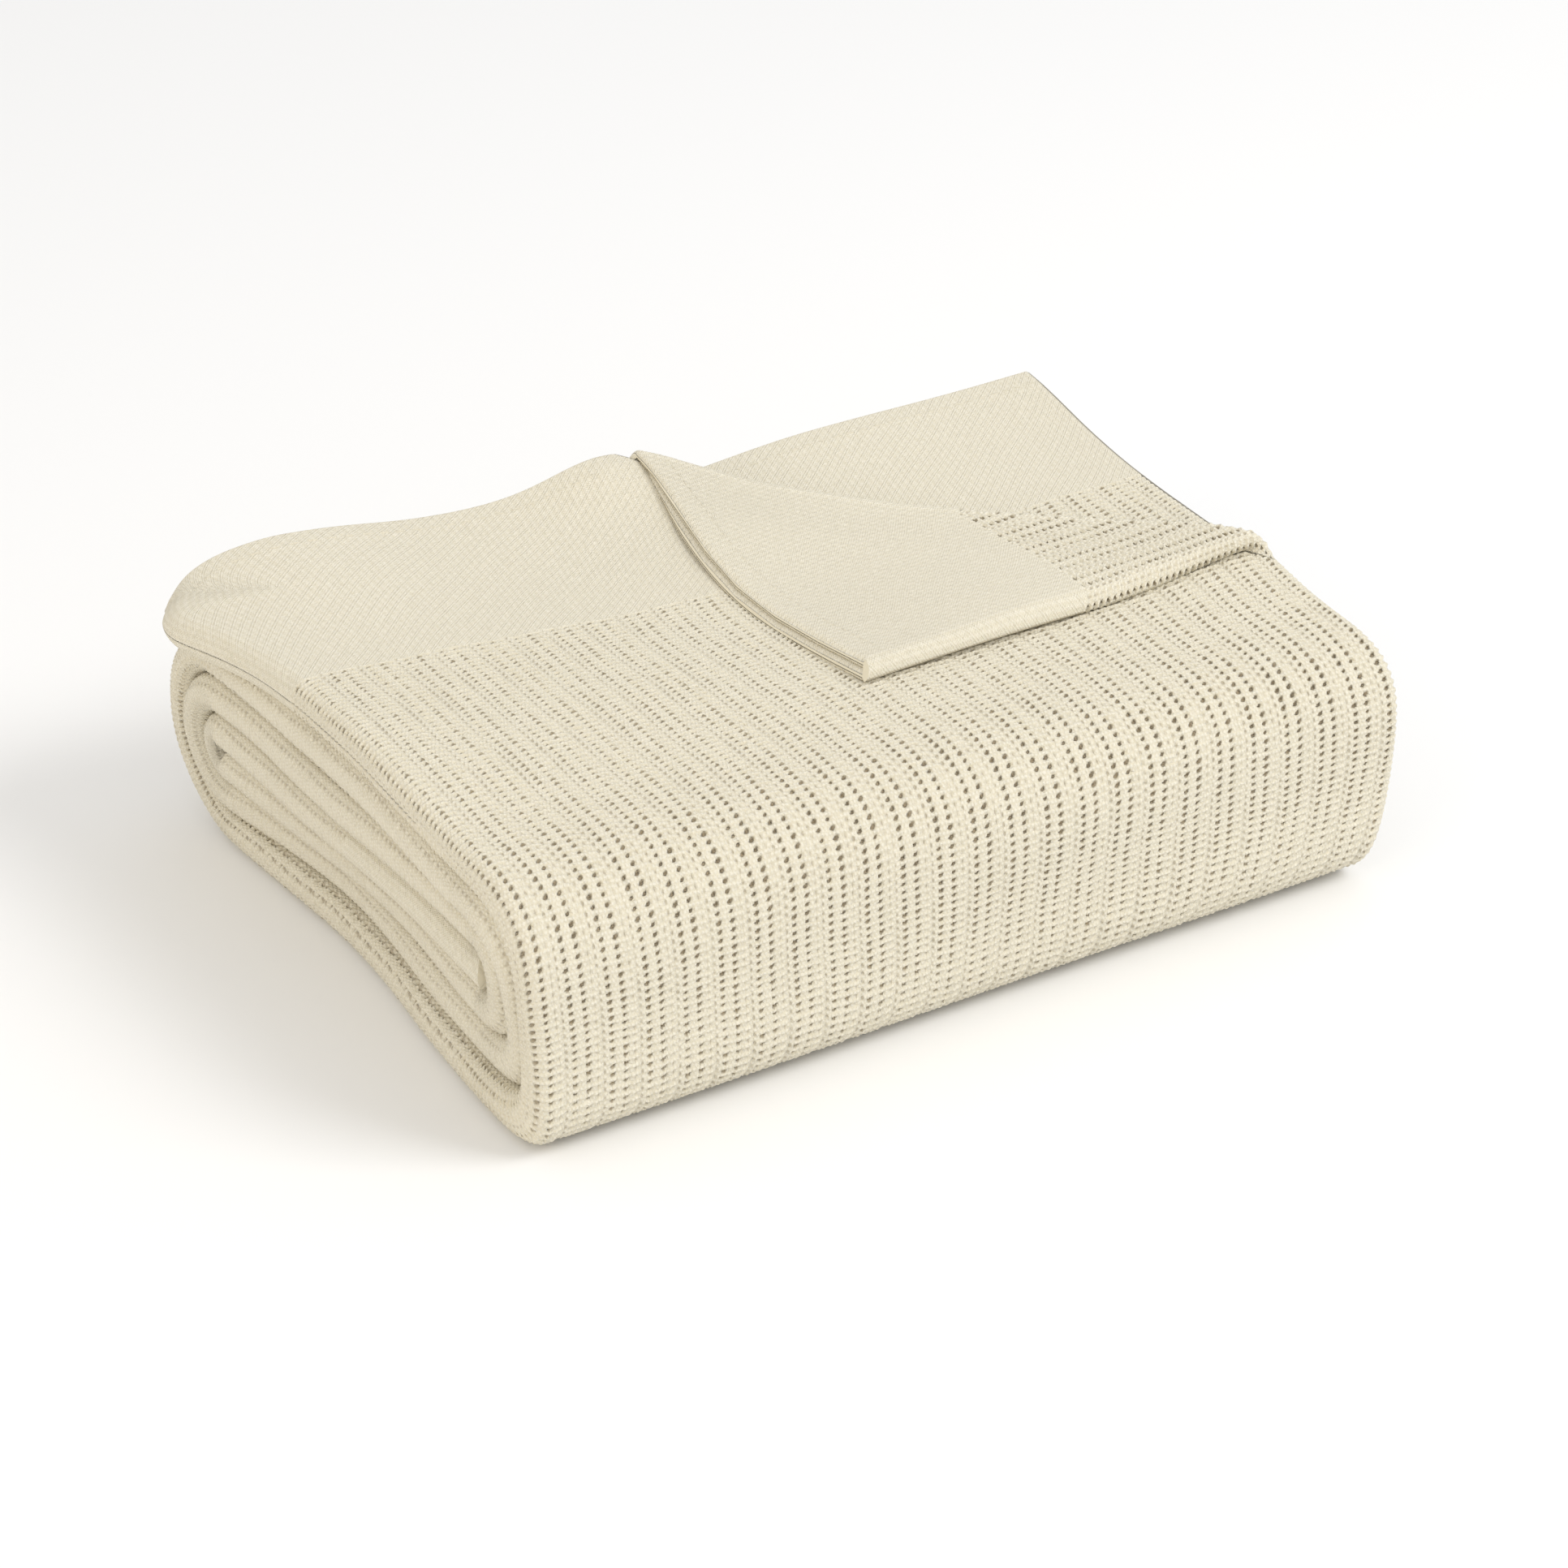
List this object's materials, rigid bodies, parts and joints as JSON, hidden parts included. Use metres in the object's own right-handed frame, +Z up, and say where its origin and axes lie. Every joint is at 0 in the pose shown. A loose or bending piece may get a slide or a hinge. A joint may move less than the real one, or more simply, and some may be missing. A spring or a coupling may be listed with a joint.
{
  "type": "folded throw blanket",
  "caption": "Cotton open-weave throw folded lengthwise and rolled flat, with a lifting top flap and one corner of its outer layer turned back.",
  "frame": {"origin": "under the middle of the roll, on the surface that it rests on", "axes": "+X along the folded width, away from the smooth fold edges; +Y from the rolled front to the back; +Z up"},
  "size_m": [0.322, 0.2619, 0.0999],
  "materials": {
    "open_weave_cloth": "open thermal weave in stripes, matt cotton",
    "band_cloth": "dense plain weave, matt cotton",
    "thread": "spun cotton sewing thread"
  },
  "bodies": {
    "roll": {"core_outer_pair": "open_weave_cloth", "core_inner_pair": "open_weave_cloth", "core_hem": "band_cloth", "core_stitching": "thread", "inner_wrap_outer_pair": "open_weave_cloth", "inner_wrap_inner_pair": "open_weave_cloth", "middle_wrap_outer_pair": "open_weave_cloth", "middle_wrap_inner_pair": "open_weave_cloth", "outer_wrap_outer_pair": "open_weave_cloth", "outer_wrap_inner_pair": "open_weave_cloth"},
    "top_flap": {"flap_inner_pair": "open_weave_cloth", "flap_inner_hem": "band_cloth", "flap_inner_stitching": "thread", "flap_outer_pair": "open_weave_cloth", "flap_outer_hem": "band_cloth", "flap_outer_stitching": "thread"},
    "turned_corner": {"corner_pair": "open_weave_cloth", "corner_hem": "band_cloth", "corner_stitching": "thread"}
  },
  "joints": [
    {"name": "flap_lift", "type": "hinge", "parent": "roll", "child": "top_flap", "pos_m": [0, -0.08444, 0.0928], "axis": [1, 0, 0], "range_deg": [0, 80]},
    {"name": "corner_fold", "type": "hinge", "parent": "top_flap", "child": "turned_corner", "pos_m": [-0.013, 0.11524, 0.0981], "axis": [-0.7031, 0.7111, 0], "range_deg": [0, 160]}
  ]
}
